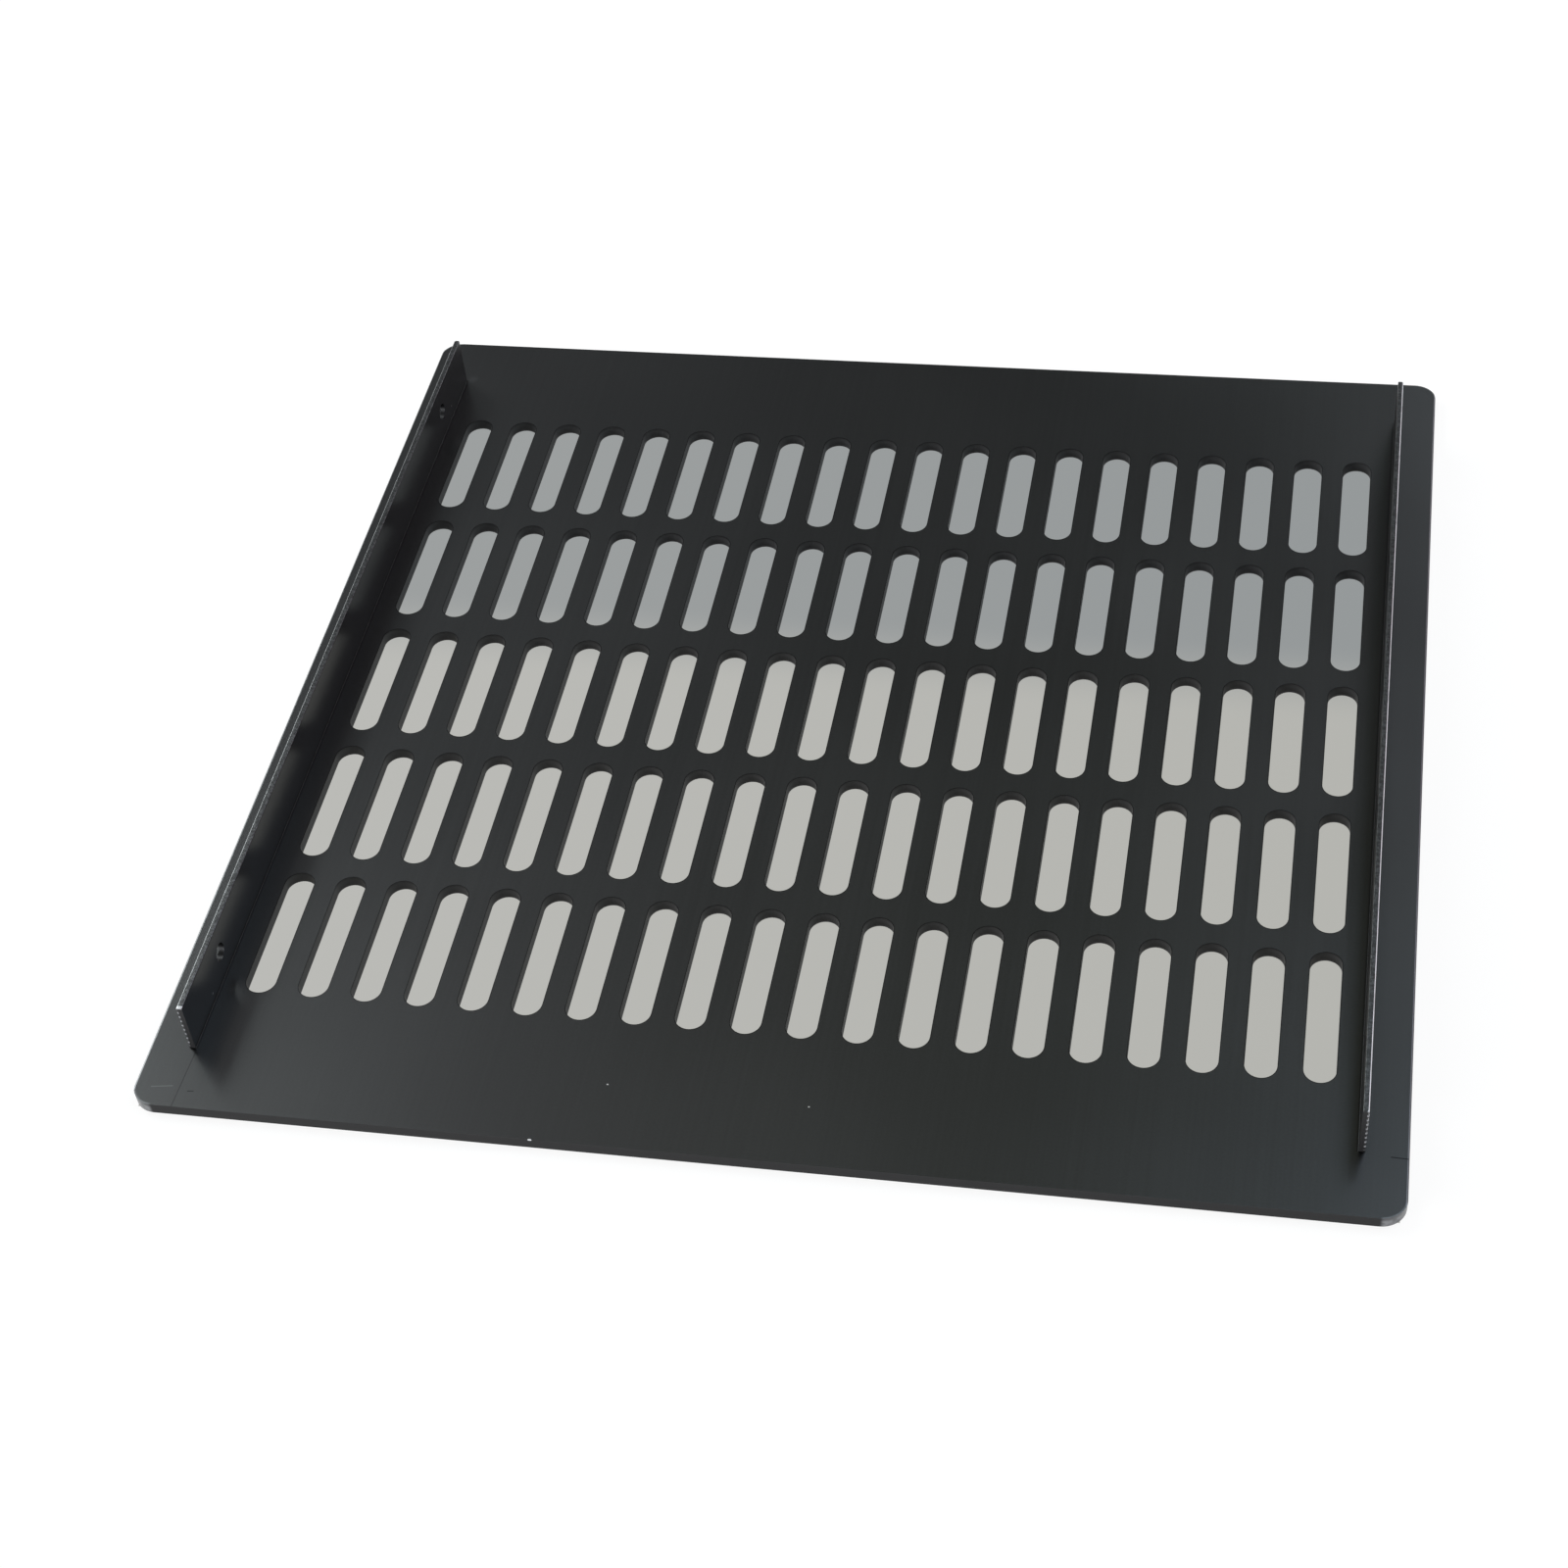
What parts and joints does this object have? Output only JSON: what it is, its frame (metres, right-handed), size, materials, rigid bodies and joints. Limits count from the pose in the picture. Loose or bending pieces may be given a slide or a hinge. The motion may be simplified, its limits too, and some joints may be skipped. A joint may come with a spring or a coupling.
{
  "type": "slotted ventilation panel",
  "caption": "Square flat panel with rows of round-ended air slots and a thin serrated clamping rib standing along each of two edges, drilled for screws.",
  "frame": {"origin": "middle of the show face, which is the bottom of the bounding box", "axes": "+X across the ribs, +Y along the ribs, +Z from the show face up through the panel to the rib tops"},
  "size_m": [0.2, 0.2, 0.0118],
  "materials": {
    "anodised_aluminium": "satin black anodised"
  },
  "bodies": {
    "root": {"vent_panel": "anodised_aluminium"}
  },
  "joints": []
}
